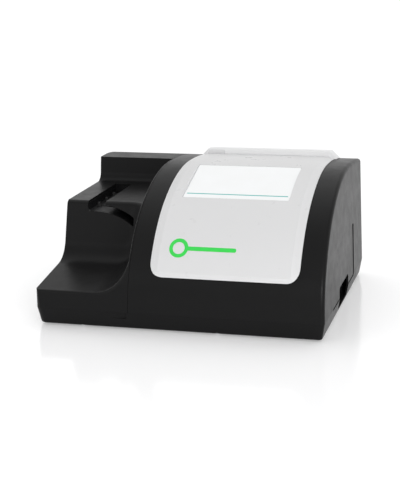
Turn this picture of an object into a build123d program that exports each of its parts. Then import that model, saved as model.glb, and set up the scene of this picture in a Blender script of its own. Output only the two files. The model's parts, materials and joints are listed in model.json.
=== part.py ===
from build123d import *
from functools import lru_cache
import math
import os

# Benchtop reader for urine test strips. Sizes in millimetres.
# Modelling frame: x from the left face, y back from the front seam edge, z up from the table.
# Every piece is moved at export so that the origin is the middle of the underside.

# ---------------------------------------------------------------- case
WIDTH = 360.0
DEPTH = 312.0
FOOT_DROP = 2.0            # table to the underside of the base
BASE_RISE = 20.4           # underside of the base to the seam
SEAM_Z = FOOT_DROP + BASE_RISE
CASE_TOP = 200.0           # construction height above the finished case
WALL = 2.6
SEAM_GAP = 0.4             # between two shells of the case
DRAFT = 1.3                # lean of the side and back walls, degrees
BASE_LEAN = 10.0           # the base tapers in towards its underside, degrees
CORNER_RADII = {"front_left": 9.0, "front_right": 4.5, "back_left": 25.0, "back_right": 12.0}
BASE_EDGE_R = 3.0
RECESS_X0 = 70.0           # shallow recess in the base front, deepest at its right end
RECESS_X1 = 117.5
RECESS_DEPTH = 3.0
RECESS_H = 7.0
RECESS_TOP = 0.6           # seam to the recess
VENT_COUNT = 9
VENT_X0 = 232.0
VENT_STEP = 9.0
VENT_Y = DEPTH - 44.0
VENT_LENGTH = 42.0
VENT_W = 3.0

# side profile of the housing: a leaning front that turns into a long arch
ARCH_LEAN = 83.5
ARCH_STRAIGHT = 20.0
ARCH_ARCS = [(90.0, 21.0), (167.0, 35.0), (240.0, 28.0), (610.0, 20.0)]   # radius, turn in degrees
ARCH_EDGE_R = CORNER_RADII["front_right"]
CHEEK_EDGE_R = 2.0

# ---------------------------------------------------------------- stepped left cover
SPLIT_X = 120.0            # left cover to main housing
CHEEK_X = SPLIT_X - WALL   # outer face of the cheek beside the arch
BACK_WALL_Y = DEPTH - 56.5
STEP_FLOOR_Y = 20.0
STEP_FLOOR_Z = 47.0
STEP_FLOOR_RISE = 8.0      # the low step climbs to the back, degrees
STEP_WALL_Y = BACK_WALL_Y - 150.5
STEP_WALL_Z = 57.4
STEP_WALL_LEAN = 16.5
STEP_COVE_SIDE = 42.0      # low step into the cheek
STEP_COVE_BACK = 33.0      # low step into the upper step
STEP_EDGE_R = 7.5
LOW_EDGE_R = 4.0
TOP_STEP_Z = 129.8
BACK_WALL_LEAN = 9.0
BACK_COVE = 13.0
BACK_TOP_Z = 162.0

# ---------------------------------------------------------------- strip slot and tray
SLOT_X0 = 28.5
SLOT_X1 = 52.3
SLOT_BACK_Y = BACK_WALL_Y - 18.5
SLOT_CORNER_R = 5.0
TRAY_T = 2.0
TRAY_FLOOR_Z = 117.0
TRAY_GAP = 0.4
RAMP_START_X = 40.5
RAMP_R = 85.0
RAMP_TURN = 35.0
MOUTH_HEIGHT = 9.2         # height of the mouth above the ramp
MOUTH_END_X = 92.0
RAMP_END_X = 126.0
DECK_Z = 66.0
DECK_END_X = 199.0

# ---------------------------------------------------------------- strip sweeper
FINGER_Y = (SLOT_BACK_Y - 82.0, SLOT_BACK_Y - 52.0, SLOT_BACK_Y - 22.0)
FINGER_T = 2.4
FINGER_W = 3.2
FINGER_REACH = 5.5         # finger above the tray floor
FINGER_REST_X = 33.0
SLIT_CLEAR = 0.8
SWEEP_DEG = 36.0
SHAFT_R = 3.0
RUN_CLEAR = 0.05
GEAR_MODULE = 1.0
SECTOR_TEETH = 48
PINION_TEETH = 12
GEAR_T = 5.0
GEAR_BACKLASH = 0.16
PINION_ANGLE = 15.0
MOTOR_SIDE = 28.0
MOTOR_LENGTH = 30.0
MOTOR_SHAFT_R = 2.5
MOTOR_SHAFT_IN = 5.0       # shaft inside a motor
FRAME_T = 2.0
FRAME_Y0 = SLOT_BACK_Y - 93.5
FRAME_Y1 = SLOT_BACK_Y - 11.0
FRAME_X1 = 112.0
BUSH_R = 5.0
SECTOR_Y0 = FRAME_Y0 + 4.0
SECTOR_Y1 = SECTOR_Y0 + GEAR_T

# ---------------------------------------------------------------- transfer comb
COMB_X = 131.0             # fingers at rest
COMB_TRAVEL = 70.0
COMB_REACH = 6.5           # finger above the deck
DECK_X0 = 119.4
DECK_Y0 = SLOT_BACK_Y - 109.0
DECK_Y1 = SLOT_BACK_Y + 5.0
CHUTE_END_X = 221.0
CHUTE_END_Z = 60.2
PLATE_X0 = 117.0
PLATE_X1 = 213.0
ROD_R = 2.5
ROD_Z = 50.0
ROD_Y = (DECK_Y0 + 18.0, DECK_Y1 - 10.0)
PULLEY_R = 7.0
PULLEY_Z = 34.0
SMALL_SHAFT_R = 2.0
SMALL_MOTOR_SIDE = 20.0
SMALL_MOTOR_LENGTH = 26.0
BRACKET_Y = SLOT_BACK_Y - 42.0
BELT_Y = BRACKET_Y - 8.0
BELT_W = 6.0
BELT_T = 1.4
BELT_CLEAR = 0.3
CARRIAGE_W = 10.0

# ---------------------------------------------------------------- optical head
HEAD_X0 = 150.0
HEAD_X1 = 186.0
HEAD_Y0 = DECK_Y0 + 18.0
HEAD_Y1 = DECK_Y1 - 8.0
HEAD_Z0 = 88.0
HEAD_Z1 = 112.0

# ---------------------------------------------------------------- white cover, screen, status light
COVER_X0 = 146.0
COVER_X1 = WIDTH - 31.5
COVER_LIFT = 3.6           # cover's face above the housing
COVER_SEAT = 0.3
COVER_EDGE = 0.9           # height of the cover's edge below its bevel
COVER_BEVEL_W = 10.0
COVER_BEVEL_LOW = 6.0      # height of the bevel along the lower edge
COVER_LOW_Z = 67.5
COVER_CORNER_R = 16.0
COVER_BACK_Y = DEPTH - 60.0
SCREEN_X0 = COVER_X0 + 22.0
SCREEN_X1 = COVER_X1 - 26.5
SCREEN_FRONT_Y = 84.0
SCREEN_BACK_Y = 167.0
SCREEN_LEDGE = 4.0
LEDGE_T = 1.6
GLASS_T = 1.8
GLASS_GAP = 0.25
DISPLAY_T = 6.0
RING_X = 179.2
RING_Z = 100.2
RING_R = 11.7
RING_HOLE_R = 7.4
RING_SQUASH = 0.84         # a ring lying on the leaning face, seen from the front
BAR_END_X = 250.0
BAR_H = 4.2
LIGHT_T = 1.6              # depth of the inlaid light guide
LIGHT_GAP = 0.1
LIGHT_PROUD = 0.05
LIGHT_POST_R = 1.6
LIGHT_BOARD_Y = 47.0

# ---------------------------------------------------------------- printer
LID_X0 = 147.0
LID_X1 = WIDTH - 29.0
LID_GAP = 0.8
LID_BACK_Y = DEPTH - 20.0
LID_LIFT = 11.0
LID_EDGE_R = 6.0           # round front and back edges of the lid
EAR_IN = 10.0              # hinge ears inside the lid's ends
HINGE_R = 2.3
HINGE_PIN_R = 1.25
HINGE_SIDE = 0.4           # play at each end of the hinge
LID_T = 2.2
LID_NOTCH_X = 168.0
LID_NOTCH_W = 24.0
LID_NOTCH_D = 2.0
EAR_W = 4.0
EAR_T = 3.0
BAY_X0 = 160.0
BAY_X1 = WIDTH - 42.0
BAY_Y0 = LID_BACK_Y - 38.0
BAY_Y1 = LID_BACK_Y - 5.0
BAY_T = 2.0
ROLL_R = 14.5
ROLL_CORE_R = 6.0
ROLL_W = 57.0
ROLL_X0 = BAY_X0 + 36.0
ROLL_Z = 138.0
ROLL_CLEAR = 0.4
PLATEN_R = 4.0
PLATEN_SHAFT_R = 1.5
PLATEN_Z = 157.0
PLATEN_Y = BAY_Y0 + 9.0
PRINT_MODULE = 0.5
PLATEN_TEETH = 24
PRINT_PINION_TEETH = 12
PRINT_GEAR_T = 3.0
PRINT_SHAFT_R = 1.0
PRINT_MOTOR_R = 7.0
PRINT_MOTOR_L = 22.0

# ---------------------------------------------------------------- waste drawer
DRAWER_Y1 = SLOT_BACK_Y - 9.0
DRAWER_Y0 = DRAWER_Y1 - 164.0
DRAWER_Z0 = 19.0
DRAWER_Z1 = 90.0
DRAWER_GAP = 0.7
DRAWER_INSET = 0.8
NOTCH_Y0 = DRAWER_Y0 + 50.0
NOTCH_Y1 = DRAWER_Y0 + 120.0
NOTCH_Z0 = 5.5
NOTCH_Z1 = 34.0
NOTCH_R = 6.0
BIN_X0 = WIDTH - 144.0
BIN_Z0 = 25.0
BIN_Z1 = 54.0
GUIDE_X1 = WIDTH - 15.0
BIN_T = 2.0
BIN_SIDE_CLEAR = 6.0
SCOOP_DEPTH = 22.0
GUIDE_T = 2.0
GUIDE_CLEAR = 0.3
DRAWER_TRAVEL = 140.0

# ---------------------------------------------------------------- electronics and back panel
# socket: middle x, width, height, depth
SOCKETS = {"dc": (27.0, 9.0, 11.0, 14.0), "usb_b": (48.0, 12.0, 11.0, 16.0),
           "usb_a": (69.0, 14.0, 7.5, 14.0), "serial": (96.0, 31.0, 12.5, 12.0)}
SOCKET_BACK = 1.0          # sockets stop inside the back face
BOARD_X0 = 18.0
BOARD_X1 = 196.0
BOARD_Y1 = DEPTH - 6.0
BOARD_Y0 = BOARD_Y1 - 54.0
BOARD_Z = 27.0
BOARD_T = 1.6
SWITCH_X = WIDTH - 60.0
SWITCH_Z = 100.0
SWITCH_W = 14.0
SWITCH_H = 20.0
SWITCH_DEPTH = 18.0
SWITCH_RIM = 2.0
SWITCH_RIM_T = 1.0
ROCKER_R = 7.0
ROCKER_W = 9.0
ROCKER_SINK = 4.0          # rocker's axis inside the back face
ROCKER_FACE = 4.5
ROCKER_DEG = 12.0

# ---------------------------------------------------------------- feet and screws
FOOT_R = 8.0
FOOT_POCKET = 1.0
FOOT_IN = 30.0
BOSS_R = 4.5
SCREW_R = 1.5
SCREW_LEFT_X = 60.0
SCREW_RIGHT_X = 230.0
SCREW_HEAD_R = 3.0
SCREW_SINK = 2.4
SCREW_GRIP = 9.0           # screw length inside the upper boss

os.makedirs("parts", exist_ok=True)
ORIGIN = Location((-WIDTH / 2, -DEPTH / 2, 0))


def node(name, shape):
    solids = [solid.moved(ORIGIN) for solid in shape.solids()]
    export_step(Compound(solids) if len(solids) > 1 else solids[0], f"parts/{name}.step")


# ---------------------------------------------------------------- plain helpers
def block(x0, x1, y0, y1, z0, z1):
    return Pos((x0 + x1) / 2, (y0 + y1) / 2, (z0 + z1) / 2) * Box(x1 - x0, y1 - y0, z1 - z0)


def side_solid(face, x0, x1):
    """A (y, z) outline carried from x0 to x1."""
    return extrude(Plane.YZ.offset(x0) * face, amount=x1 - x0)


def front_solid(face, y0, y1):
    """An (x, z) outline carried from y0 back to y1."""
    return extrude(Plane.XZ.offset(-y0) * face, amount=y0 - y1)


def rod_x(x0, x1, y, z, r):
    return side_solid(Pos(y, z) * Circle(r), x0, x1)


def rod_y(x, y0, y1, z, r):
    return front_solid(Pos(x, z) * Circle(r), y0, y1)


def rod_z(x, y, z0, z1, r):
    return Pos(x, y, (z0 + z1) / 2) * Cylinder(r, z1 - z0)


def edges_where(solid, test):
    return [edge for edge in solid.edges() if test(edge)]


def gear_face(cx, cy, teeth, module, phase):
    """An involute gear outline with one tooth centred at the phase angle, in degrees."""
    pitch_r = module * teeth / 2
    base_r = pitch_r * math.cos(math.radians(20))
    tip_r = pitch_r + module
    root_r = pitch_r - 1.25 * module

    def involute(r):
        a = math.acos(min(1.0, base_r / r))
        return math.tan(a) - a

    half = math.pi / (2 * teeth) - GEAR_BACKLASH * module / (2 * pitch_r)
    low_r = max(base_r, root_r)
    flank = [low_r + (tip_r - low_r) * i / 3 for i in range(4)]
    angles = [half + involute(pitch_r) - involute(r) for r in flank]
    points = []
    for i in range(teeth):
        middle = math.radians(phase) + 2 * math.pi * i / teeth
        low = [(root_r, middle - angles[0])] if root_r < low_r else []
        rise = [(r, middle - a) for r, a in zip(flank, angles)]
        fall = [(r, middle + a) for r, a in reversed(list(zip(flank, angles)))]
        high = [(root_r, middle + angles[0])] if root_r < low_r else []
        points += low + rise + fall + high
    return make_face(Polyline(*[(cx + r * math.cos(a), cy + r * math.sin(a)) for r, a in points], close=True))


# ---------------------------------------------------------------- case forms
def tapered_block(inset, drawn_in, z0, height, lean, corners, spare=0.0):
    """The plan of the case, inset by a wall, drawn in at its foot and by the lean as it goes up.

    With a spare width the left wall is cut upright from it.
    """
    edge = inset + drawn_in
    base = Pos((WIDTH - spare) / 2, DEPTH / 2, z0) * Rectangle(WIDTH + spare - 2 * edge, DEPTH - 2 * edge)
    solid = extrude(base, amount=height, taper=lean)
    if spare:
        solid = solid & block(inset, WIDTH, 0, DEPTH, z0, z0 + height)
    places = {"front_left": (0, 0), "front_right": (WIDTH, 0), "back_left": (0, DEPTH), "back_right": (WIDTH, DEPTH)}
    for key in corners:
        x, y = places[key]
        upright = solid.edges().filter_by(lambda e: abs(e.tangent_at(0.5).Z) > 0.9)
        corner = upright.sort_by_distance(Vector(x, y, z0 + height / 2))[0]
        solid = fillet(corner, max(CORNER_RADII[key] - inset, 0.8))
    return solid


def case_block(inset):
    """The upper case, its left wall upright; the arch rounds its own front right edge."""
    corners = [key for key in CORNER_RADII if key != "front_right"]
    return tapered_block(inset, 0, SEAM_Z, CASE_TOP - SEAM_Z, DRAFT, corners, spare=2 * CORNER_RADII["back_left"])


def arch_chain(out):
    """The arch as a straight front and tangent arcs, moved square to itself by out."""
    lean = math.radians(ARCH_LEAN)
    along = Vector(math.cos(lean), math.sin(lean))
    start = Vector(0, SEAM_Z) + Vector(-math.sin(lean), math.cos(lean)) * out
    point = start + along * ARCH_STRAIGHT
    edges = [Line(start - along * 30, point)]
    angle = ARCH_LEAN
    for radius, turn in ARCH_ARCS:
        a = math.radians(angle)
        centre = point + Vector(math.sin(a), -math.cos(a)) * (radius + out)
        edges.append(CenterArc(centre, radius + out, angle + 90, -turn))
        point = edges[-1] @ 1
        angle -= turn
    return edges


def arch_face(out):
    edges = arch_chain(out)
    low, high = edges[0] @ 0, edges[-1] @ 1
    corner = Vector(high.X, low.Y)
    return make_face(edges + [Line(high, corner), Line(corner, low)])


def arch_z(y, out):
    """Height of the arch, moved out by out, at a depth y."""
    ray = Line((y, 0), (y, 2 * CASE_TOP))
    hits = [point for edge in arch_chain(out) for point in edge.intersect(ray) or []]
    return max(hit.Y for hit in hits)


def arch_y(z, out):
    """Depth of the arch's front, moved out by out, at a height z."""
    ray = Line((-CASE_TOP, z), (DEPTH / 2, z))
    hits = [point for edge in arch_chain(out) for point in edge.intersect(ray) or []]
    return min(hit.X for hit in hits)


def lowered_line(y, z, degrees, inset):
    """A point and direction of a profile line, moved into the material by inset."""
    a = math.radians(degrees)
    return Vector(y + inset * math.sin(a), z - inset * math.cos(a)), Vector(math.cos(a), math.sin(a))


def crossing(p, u, q, v):
    t = ((q.X - p.X) * v.Y - (q.Y - p.Y) * v.X) / (u.X * v.Y - u.Y * v.X)
    return p + u * t


def step_pocket(inset):
    """The space over the low step, with coves into the upper step and the cheek."""
    floor_point, floor_way = lowered_line(STEP_FLOOR_Y, STEP_FLOOR_Z, STEP_FLOOR_RISE, inset)
    wall_point, wall_way = lowered_line(STEP_WALL_Y, STEP_WALL_Z, 90 - STEP_WALL_LEAN, inset)
    corner = crossing(floor_point, floor_way, wall_point, wall_way)
    front = corner - floor_way * DEPTH / 2
    top = corner + wall_way * DEPTH / 2
    face = make_face(Polyline(front, corner, top, (front.X, top.Y), close=True))
    x1 = CHEEK_X + inset
    pocket = side_solid(face, -WALL * 4, x1)
    side_edge = edges_where(pocket, lambda e: abs(e.center().X - x1) < 0.01 and e.center().Z < corner.Y)
    pocket = fillet(side_edge, STEP_COVE_SIDE + inset)
    wall = pocket.faces().sort_by(Axis.Y)[-1]
    back_edges = [e for e in wall.edges() if e.center().Z < top.Y - 1 and e.center().X > 0]
    return fillet(back_edges, STEP_COVE_BACK + inset)


@lru_cache
def left_form(inset):
    """The stepped left module without its cheek: outside at no inset, inside at one wall."""
    reach = SPLIT_X + 2 * STEP_COVE_SIDE
    arch = side_solid(arch_face(-inset), -WALL, reach) & case_block(inset)
    top = TOP_STEP_Z - inset
    low = arch & block(-WALL, reach, -WALL, DEPTH + WALL, SEAM_Z - WALL, top)
    low = low - step_pocket(inset)
    step_edge = edges_where(low, lambda e: abs((e @ 0).Z - top) < 0.01 and abs((e @ 1).Z - top) < 0.01
                            and e.center().Y < STEP_WALL_Y + 30 and WALL * 2 < e.center().X < SPLIT_X + 10)
    low = fillet(step_edge, STEP_EDGE_R - inset)
    front_edge = edges_where(low, lambda e: e.center().Y < 18 and STEP_FLOOR_Z - inset - 3 < e.center().Z
                             and e.center().X > CORNER_RADII["front_left"] and (e @ 0).X < CHEEK_X + inset + 1
                             and (e @ 1).X < CHEEK_X + inset + 1 and abs(e.tangent_at(0.5).X) > 0.3)
    low = fillet(front_edge, LOW_EDGE_R - inset)
    high = arch & block(-WALL, reach, BACK_WALL_Y - 60, DEPTH + WALL, SEAM_Z, BACK_TOP_Z - inset)
    foot, way = lowered_line(BACK_WALL_Y, TOP_STEP_Z, 90 - BACK_WALL_LEAN, inset)
    foot = crossing(foot, way, Vector(0, top), Vector(1, 0))
    over = foot + way * 60
    face = make_face(Polyline((foot.X - 90, top), foot, over, (foot.X - 90, over.Y), close=True))
    upper_pocket = side_solid(face, -WALL * 4, reach + WALL)
    cove = edges_where(upper_pocket, lambda e: abs(e.center().Z - top) < 0.01 and abs(e.center().Y - foot.X) < 0.01)
    return low + (high - fillet(cove, BACK_COVE + inset))


def tray_line(rise):
    """The tray's floor line, raised by rise, from the slot's left edge to the ramp's end."""
    r = RAMP_R + rise
    turn = math.radians(RAMP_TURN)
    centre = (RAMP_START_X, TRAY_FLOOR_Z - RAMP_R)
    flat = Line((SLOT_X0, TRAY_FLOOR_Z + rise), (RAMP_START_X, TRAY_FLOOR_Z + rise))
    bend = CenterArc(centre, r, 90, -RAMP_TURN)
    end_x = RAMP_END_X + rise * math.sin(turn)
    slope = Line(bend @ 1, (end_x, (bend @ 1).Y - (end_x - (bend @ 1).X) * math.tan(turn)))
    return [flat, bend, slope]


def band(low, high):
    """The (x, z) outline between two tray lines."""
    under, over = tray_line(low), tray_line(high)
    ends = [Line(under[0] @ 0, over[0] @ 0), Line(under[-1] @ 1, over[-1] @ 1)]
    return make_face(under + over + ends)


def round_slot_corner(face):
    corner = face.vertices().sort_by_distance(Vector(SLOT_X0, TRAY_FLOOR_Z))[0]
    return fillet(corner, SLOT_CORNER_R)


def slot():
    """The channel through the upper step, its lower left corner rounded."""
    face = Pos((SLOT_X0 + SLOT_X1) / 2, (TRAY_FLOOR_Z + CASE_TOP) / 2)
    face = face * Rectangle(SLOT_X1 - SLOT_X0, CASE_TOP - TRAY_FLOOR_Z)
    return front_solid(round_slot_corner(face), STEP_WALL_Y - 15, SLOT_BACK_Y)


def mouth():
    """The curved mouth in the step's front wall."""
    opening = band(0, MOUTH_HEIGHT) & (Pos((SLOT_X0 + MOUTH_END_X) / 2, TRAY_FLOOR_Z)
                                       * Rectangle(MOUTH_END_X - SLOT_X0, RAMP_R))
    return front_solid(round_slot_corner(opening), STEP_WALL_Y - 15, STEP_WALL_Y + 25)


def screw_places():
    edge = BOSS_R + WALL - 0.1
    left = [(SCREW_LEFT_X, edge), (edge, FOOT_IN + 32), (edge, SLOT_BACK_Y - 37)]
    right = [(SCREW_RIGHT_X, edge), (WIDTH - edge, DRAWER_Y0 - 25), (WIDTH - edge, DRAWER_Y1 + 22),
             (SCREW_RIGHT_X, DEPTH - edge)]
    return left, right


def case_bosses(places):
    tower = SCREW_GRIP + WALL
    bosses = [rod_z(x, y, SEAM_Z, SEAM_Z + tower, BOSS_R) for x, y in places]
    holes = [rod_z(x, y, SEAM_Z, SEAM_Z + SCREW_GRIP, SCREW_R + 0.02) for x, y in places]
    return bosses, holes


# ---------------------------------------------------------------- case shells
def base_outer(inset):
    drawn_in = BASE_RISE * math.tan(math.radians(BASE_LEAN))
    return tapered_block(inset, drawn_in, FOOT_DROP, BASE_RISE, -BASE_LEAN, CORNER_RADII)


def make_base():
    shell = base_outer(0)
    shell = fillet(shell.faces().sort_by(Axis.Z)[0].edges(), BASE_EDGE_R)
    left, right = screw_places()
    towers = [rod_z(x, y, FOOT_DROP + WALL, SEAM_Z - SEAM_GAP, BOSS_R) for x, y in left + right]
    hollow = base_outer(WALL) & block(0, WIDTH, 0, DEPTH, FOOT_DROP + WALL, SEAM_Z + 1)
    hollow = hollow - towers
    shell = shell - hollow
    shell = shell - block(-1, WIDTH + 1, -1, DEPTH + 1, SEAM_Z - SEAM_GAP / 2, SEAM_Z + 1)
    for x, y in left + right:
        shell = shell - rod_z(x, y, 0, SEAM_Z, SCREW_R + 0.3) - rod_z(x, y, 0, FOOT_DROP + SCREW_SINK, SCREW_HEAD_R + 0.3)
    for x, y in foot_places():
        shell = shell - rod_z(x, y, 0, FOOT_DROP + FOOT_POCKET, FOOT_R + 0.2)
    shell = shell - drawer_aperture(0) - notch_cut()
    recess = make_face(Polyline((RECESS_X0, -1), (RECESS_X1, -1), (RECESS_X1, RECESS_DEPTH), close=True))
    shell = shell - extrude(Pos(0, 0, SEAM_Z - RECESS_TOP - RECESS_H) * recess, amount=RECESS_H)
    for i in range(VENT_COUNT):
        x = VENT_X0 + i * VENT_STEP
        shell = shell - extrude(Pos(x, VENT_Y, 0) * SlotOverall(VENT_LENGTH, VENT_W, rotation=90), amount=SEAM_Z / 2)
    return shell


def foot_places():
    return [(x, y) for x in (FOOT_IN, WIDTH - FOOT_IN) for y in (FOOT_IN, DEPTH - FOOT_IN)]


def make_feet():
    top = FOOT_DROP + FOOT_POCKET
    feet = [rod_z(x, y, 0, top, FOOT_R) for x, y in foot_places()]
    return [chamfer(foot.edges().sort_by(Axis.Z)[0], 0.5) for foot in feet]


def drawer_aperture(shrink):
    """The drawer's place in the right wall, or its front when drawn in by the gap."""
    y0, y1 = DRAWER_Y0 + shrink, DRAWER_Y1 - shrink
    z0, z1 = DRAWER_Z0 + shrink, DRAWER_Z1 - shrink
    face = Pos((y0 + y1) / 2, (z0 + z1) / 2) * RectangleRounded(y1 - y0, z1 - z0, 3.0)
    return side_solid(face, WIDTH - 4 * WALL, WIDTH + 1)


def notch_cut():
    face = Pos((NOTCH_Y0 + NOTCH_Y1) / 2, (NOTCH_Z0 + NOTCH_Z1) / 2)
    face = face * RectangleRounded(NOTCH_Y1 - NOTCH_Y0, NOTCH_Z1 - NOTCH_Z0, NOTCH_R)
    return side_solid(face, WIDTH - 5 * WALL, WIDTH + 1)


def make_left_cover():
    outer = left_form(0) & block(-WALL, SPLIT_X - SEAM_GAP / 2, -WALL, DEPTH + 1, SEAM_Z, CASE_TOP)
    cheek = side_solid(arch_face(0), CHEEK_X, SPLIT_X - SEAM_GAP / 2) & case_block(0)
    rim = edges_where(cheek, lambda e: abs(e.center().X - CHEEK_X) < 0.01 and e.center().Z > SEAM_Z + 15
                      and e.center().Y < DEPTH - 30)
    cheek = fillet(rim, CHEEK_EDGE_R)
    shell = outer + cheek - left_form(WALL)
    bosses, holes = case_bosses(screw_places()[0])
    shell = shell + [boss & left_form(0) for boss in bosses]
    shell = shell - holes
    return shell - slot() - mouth() - back_openings()


def make_main_housing():
    x0 = SPLIT_X + SEAM_GAP / 2
    shell = side_solid(arch_face(0), x0, WIDTH + 1) & case_block(0)
    rim = edges_where(shell, lambda e: e.center().X > WIDTH - 8 and e.center().Z > SEAM_Z + 5
                      and e.center().Y < DEPTH - 30)
    shell = fillet(rim, ARCH_EDGE_R)
    inside = side_solid(arch_face(-WALL), x0 - 1, WIDTH) & case_block(WALL)
    shell = shell - inside
    bosses, holes = case_bosses(screw_places()[1])
    shell = shell + [boss & case_block(0) & side_solid(arch_face(0), x0, WIDTH) for boss in bosses]
    pillars = [rod_y(x, 0, LIGHT_BOARD_Y, z, 2.5) - rod_y(x, LIGHT_BOARD_Y - 5, LIGHT_BOARD_Y + 1, z, 1.0)
               for x, z in light_board_pillars()]
    shell = shell + [pillar & side_solid(arch_face(-WALL / 2), 0, WIDTH) for pillar in pillars]
    shell = shell - on_screen(SCREEN_LEDGE + 1, -40, 20, 3.0)
    shell = shell - [rod_y(x, -20, SCREEN_FRONT_Y - 10, z, LIGHT_POST_R + 0.6) for x, z in light_posts()]
    shell = shell - block(BAY_X0, BAY_X1, BAY_Y0, BAY_Y1, ROLL_Z, CASE_TOP)
    axis_y, axis_z = hinge_axis()
    for x in ear_places():
        ear = rod_x(x, x + EAR_W, axis_y, axis_z, HINGE_R)
        ear = ear + block(x, x + EAR_W, axis_y - HINGE_R, axis_y + HINGE_R, axis_z - HINGE_R - 2, axis_z)
        shell = shell + ear - rod_x(x - 1, x + EAR_W + 1, axis_y, axis_z, HINGE_PIN_R + 0.02)
    return shell - holes - drawer_aperture(0) - notch_cut() - switch_opening()


# ---------------------------------------------------------------- strip tray and sweeper
def make_tray():
    back = SLOT_BACK_Y + TRAY_GAP
    top = TOP_STEP_Z - WALL
    floor = front_solid(band(-TRAY_T, 0), STEP_WALL_Y, back + TRAY_T)
    side = block(SLOT_X0 - TRAY_T, SLOT_X0, STEP_WALL_Y, back + TRAY_T, TRAY_FLOOR_Z - TRAY_T, top)
    end = block(SLOT_X0, SLOT_X1 + TRAY_T, back, back + TRAY_T, TRAY_FLOOR_Z - 2 * TRAY_T, top)
    tray = (floor + side + end) & left_form(WALL + TRAY_GAP)
    for y in FINGER_Y:
        tray = tray - finger_slit(y)
    return tray


def polar(r, degrees):
    a = math.radians(degrees)
    return (RAMP_START_X + r * math.cos(a), TRAY_FLOOR_Z - RAMP_R + r * math.sin(a))


def finger_angle():
    return 90 + math.degrees(math.asin((RAMP_START_X - FINGER_REST_X) / (RAMP_R + FINGER_REACH)))


def finger_slit(y):
    margin = math.degrees((FINGER_W / 2 + SLIT_CLEAR) / RAMP_R)
    first, last = finger_angle() + margin, finger_angle() - SWEEP_DEG - margin
    low, high = RAMP_R - 4 * TRAY_T, RAMP_R + FINGER_REACH
    centre = polar(0, 0)
    edges = [CenterArc(centre, low, first, last - first), Line(polar(low, last), polar(high, last)),
             CenterArc(centre, high, last, first - last), Line(polar(high, first), polar(low, first))]
    half = FINGER_T / 2 + SLIT_CLEAR
    return front_solid(make_face(edges), y - half, y + half)


def make_sweeper_arm():
    hub_y0, hub_y1 = SECTOR_Y1, FINGER_Y[-1] + FINGER_T / 2
    arm = rod_y(*polar(0, 0)[:1], hub_y0, hub_y1, polar(0, 0)[1], 2 * SHAFT_R)
    angle = finger_angle()
    across = (math.cos(math.radians(angle - 90)), math.sin(math.radians(angle - 90)))

    def corner(r, side):
        x, z = polar(r, angle)
        return (x + across[0] * side, z + across[1] * side)

    half = FINGER_W / 2
    neck, tip = RAMP_R - 5 * TRAY_T, RAMP_R + FINGER_REACH
    outline = [corner(0, -SHAFT_R * 1.6), corner(neck, -half), corner(tip, -half),
               corner(tip, half), corner(neck, half), corner(0, SHAFT_R * 1.6)]
    for y in FINGER_Y:
        arm = arm + front_solid(make_face(Polyline(*outline, close=True)), y - FINGER_T / 2, y + FINGER_T / 2)
    x, z = polar(RAMP_R / 2, angle)
    arm = arm + rod_y(x, FINGER_Y[0], FINGER_Y[-1], z, SHAFT_R * 0.7)
    return arm - rod_y(*polar(0, 0)[:1], hub_y0 - 1, hub_y1 + 1, polar(0, 0)[1], SHAFT_R + 0.01)


def make_sector():
    x, z = polar(0, 0)
    radius = GEAR_MODULE * SECTOR_TEETH
    margin = 14.0
    first, last = PINION_ANGLE - margin, PINION_ANGLE + SWEEP_DEG + margin
    steps = [first + (last - first) * i / 4 for i in range(5)]
    pie = make_face(Polyline((x, z), *[polar(radius, a) for a in steps], close=True))
    face = gear_face(x, z, SECTOR_TEETH, GEAR_MODULE, PINION_ANGLE) & pie
    solid = front_solid(face, SECTOR_Y0, SECTOR_Y1) + rod_y(x, SECTOR_Y0, SECTOR_Y1, z, 3 * SHAFT_R)
    return solid - rod_y(x, SECTOR_Y0 - 1, SECTOR_Y1 + 1, z, SHAFT_R + 0.01)


def pinion_centre():
    return polar(GEAR_MODULE * (SECTOR_TEETH + PINION_TEETH) / 2, PINION_ANGLE)


def make_sweeper_pinion():
    x, z = pinion_centre()
    phase = PINION_ANGLE + 180 + 180 / PINION_TEETH
    gear = front_solid(gear_face(x, z, PINION_TEETH, GEAR_MODULE, phase), SECTOR_Y0, SECTOR_Y1)
    return gear + rod_y(x, FRAME_Y0 - MOTOR_SHAFT_IN, SECTOR_Y0, z, MOTOR_SHAFT_R)


def motor(x, z, y0, y1, side, shaft_r):
    """A square stepper motor lying along y, its shaft hole in the back face."""
    body = front_solid(Pos(x, z) * RectangleRounded(side, side, side / 8), y0, y1)
    body = body - front_solid(Pos(x, z) * (Rectangle(side + 2, side + 2) - Circle(side * 0.56)), y0 + 4, y1 - 4)
    return body - rod_y(x, y1 - MOTOR_SHAFT_IN - 1, y1 + 1, z, shaft_r + RUN_CLEAR)


def make_sweeper_motor():
    x, z = pinion_centre()
    return motor(x, z, FRAME_Y0 - MOTOR_LENGTH, FRAME_Y0, MOTOR_SIDE, MOTOR_SHAFT_R)


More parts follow.
